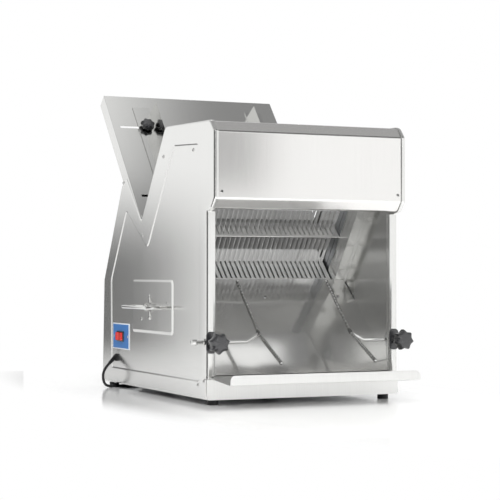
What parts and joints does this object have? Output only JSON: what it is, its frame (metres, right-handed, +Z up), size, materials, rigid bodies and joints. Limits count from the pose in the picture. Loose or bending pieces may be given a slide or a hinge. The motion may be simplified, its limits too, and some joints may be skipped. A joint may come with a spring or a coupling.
{
  "type": "bread slicer",
  "caption": "Countertop electric bread slicer: steel casing, sloped loading plate with loaf guides, two blade frames, polished chute, front tray and slice guides.",
  "frame": {"origin": "middle of the footprint, from the tray lip to the top edge of the loading plate, on the surface it stands on", "axes": "+Z up, +Y from the front tray towards the loading plate, +X to the right seen from the front"},
  "size_m": [0.552, 0.9075, 0.7172],
  "materials": {
    "casing_steel": "satin",
    "polished_steel": "polished",
    "blade_steel": "ground",
    "ground_steel": "ground",
    "zinc_steel": "zinc plated",
    "frame_aluminium": "machined",
    "motor_paint": "satin",
    "black_plastic": "matt",
    "red_plastic": "gloss",
    "blue_film": "satin",
    "black_rubber": "matt"
  },
  "bodies": {
    "casing": {"arm_bushes": "polished_steel", "base_pan": "zinc_steel", "cable_gland": "black_rubber", "capacitor": "black_plastic", "casing_screws": "polished_steel", "chute_plate": "polished_steel", "clamp_flanges": "black_plastic", "cord_coil": "black_rubber", "drive_belt": "black_rubber", "feed_plate": "polished_steel", "front_apron": "casing_steel", "guide_clamps": "frame_aluminium", "guide_rods": "ground_steel", "handle_straps": "polished_steel", "hood": "casing_steel", "loading_plate": "polished_steel", "lower_comb": "polished_steel", "mains_cord": "black_rubber", "mains_plug": "black_rubber", "motor": "motor_paint", "motor_plate": "zinc_steel", "rear_cover": "casing_steel", "rod_brackets": "frame_aluminium", "rubber_feet": "black_rubber", "shaft_bearings": "frame_aluminium", "side_channel_left": "polished_steel", "side_channel_right": "polished_steel", "side_panel_left": "casing_steel", "side_panel_right": "casing_steel", "switch_housing": "black_plastic", "switch_plate": "blue_film", "tray": "casing_steel", "upper_comb": "polished_steel"},
    "front_frame": {"front_blade_frame": "frame_aluminium", "front_blades": "blade_steel", "front_bushes": "frame_aluminium", "front_connecting_rods": "frame_aluminium"},
    "rear_frame": {"rear_blade_frame": "frame_aluminium", "rear_blades": "blade_steel", "rear_bushes": "frame_aluminium", "rear_connecting_rods": "frame_aluminium"},
    "crank": {"eccentric_shaft": "ground_steel", "crank_pulley": "frame_aluminium"},
    "rotor": {"motor_shaft": "ground_steel", "motor_pulley": "frame_aluminium"},
    "left_slice_guide": {"slice_guide_left": "polished_steel", "guide_cap_left": "polished_steel"},
    "right_slice_guide": {"slice_guide_right": "polished_steel", "guide_cap_right": "polished_steel"},
    "left_front_knob": {"front_knob_left": "black_plastic"},
    "right_front_knob": {"front_knob_right": "black_plastic"},
    "left_loaf_guide": {"loaf_guide_left": "polished_steel", "loaf_clamp_bolt_left": "ground_steel"},
    "right_loaf_guide": {"loaf_guide_right": "polished_steel", "loaf_clamp_bolt_right": "ground_steel"},
    "left_loaf_knob": {"loaf_knob_left": "black_plastic"},
    "right_loaf_knob": {"loaf_knob_right": "black_plastic"},
    "left_handle": {"side_handle_left": "polished_steel"},
    "right_handle": {"side_handle_right": "polished_steel"},
    "rocker": {"switch_rocker": "red_plastic"}
  },
  "joints": [
    {"name": "front_frame_slide", "type": "slide", "parent": "casing", "child": "front_frame", "axis": [0, -0.5948, 0.8039], "range_m": [-0.01, 0.01]},
    {"name": "rear_frame_slide", "type": "slide", "parent": "casing", "child": "rear_frame", "axis": [0, -0.5948, 0.8039], "range_m": [-0.01, 0.01]},
    {"name": "crank_spin", "type": "hinge", "parent": "casing", "child": "crank", "pos_m": [0, 0.13969, 0.09906], "axis": [1, 0, 0], "continuous": true},
    {"name": "motor_spin", "type": "hinge", "parent": "casing", "child": "rotor", "pos_m": [0, 0.29999, 0.111], "axis": [1, 0, 0], "continuous": true},
    {"name": "left_guide_reach", "type": "slide", "parent": "casing", "child": "left_slice_guide", "axis": [-1, 0, 0], "range_m": [-0.013, 0.055]},
    {"name": "right_guide_reach", "type": "slide", "parent": "casing", "child": "right_slice_guide", "axis": [1, 0, 0], "range_m": [-0.013, 0.055]},
    {"name": "left_front_knob_turn", "type": "hinge", "parent": "casing", "child": "left_front_knob", "pos_m": [-0.21875, -0.33004, 0.132], "axis": [0, 1, 0], "continuous": true},
    {"name": "right_front_knob_turn", "type": "hinge", "parent": "casing", "child": "right_front_knob", "pos_m": [0.21875, -0.33004, 0.132], "axis": [0, 1, 0], "continuous": true},
    {"name": "left_loaf_guide_slide", "type": "slide", "parent": "casing", "child": "left_loaf_guide", "axis": [-1, 0, 0], "range_m": [-0.09, 0.06]},
    {"name": "right_loaf_guide_slide", "type": "slide", "parent": "casing", "child": "right_loaf_guide", "axis": [1, 0, 0], "range_m": [-0.115, 0.038]},
    {"name": "left_loaf_knob_turn", "type": "hinge", "parent": "left_loaf_guide", "child": "left_loaf_knob", "pos_m": [-0.14, 0.29619, 0.64162], "axis": [0, -0.7604, 0.6494], "continuous": true},
    {"name": "right_loaf_knob_turn", "type": "hinge", "parent": "right_loaf_guide", "child": "right_loaf_knob", "pos_m": [0.165, 0.29619, 0.64162], "axis": [0, -0.7604, 0.6494], "continuous": true},
    {"name": "left_handle_fold", "type": "hinge", "parent": "casing", "child": "left_handle", "pos_m": [-0.236, 0.03296, 0.2], "axis": [0, 1, 0], "range_deg": [-78, 0]},
    {"name": "right_handle_fold", "type": "hinge", "parent": "casing", "child": "right_handle", "pos_m": [0.236, 0.03296, 0.2], "axis": [0, 1, 0], "range_deg": [0, 78]},
    {"name": "rocker_tilt", "type": "hinge", "parent": "casing", "child": "rocker", "pos_m": [-0.2302, 0.24299, 0.126], "axis": [0, 0, 1], "range_deg": [-8, 8]}
  ],
  "couplings": [
    {"joint": "rear_frame_slide", "follows": "front_frame_slide", "ratio": -1},
    {"joint": "motor_spin", "follows": "crank_spin", "ratio": 2.2}
  ]
}
